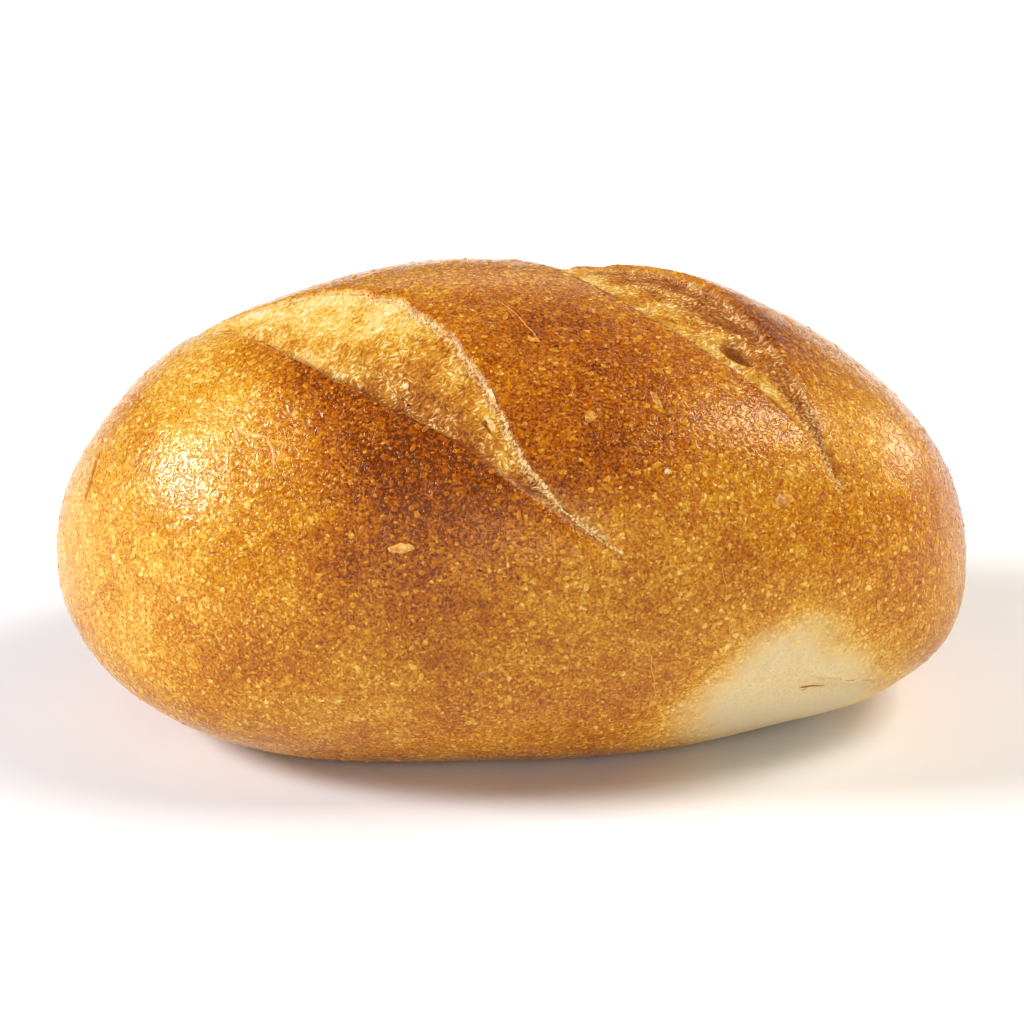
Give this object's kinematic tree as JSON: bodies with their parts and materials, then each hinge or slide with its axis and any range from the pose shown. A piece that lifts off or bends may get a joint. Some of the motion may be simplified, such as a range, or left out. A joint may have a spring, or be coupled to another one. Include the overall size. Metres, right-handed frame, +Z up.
{
  "type": "bread roll",
  "caption": "Plump oval white bread roll with a glossy golden crust, slanting baker's cuts opened over pale crumb, and a pale pressed side.",
  "frame": {"origin": "on the flat base, under the middle of the bounding box", "axes": "+Z up, +X along the roll's length towards its right end, and -Y towards the front that shows the pale side"},
  "size_m": [0.1348, 0.0842, 0.066],
  "materials": {
    "crust": "glossy golden-brown baked crust with fine wrinkles and pale blister flecks, straw-yellow torn crumb in the cuts, and a cream-white side low on the front right"
  },
  "bodies": {
    "root": {"roll": "crust"}
  },
  "joints": []
}
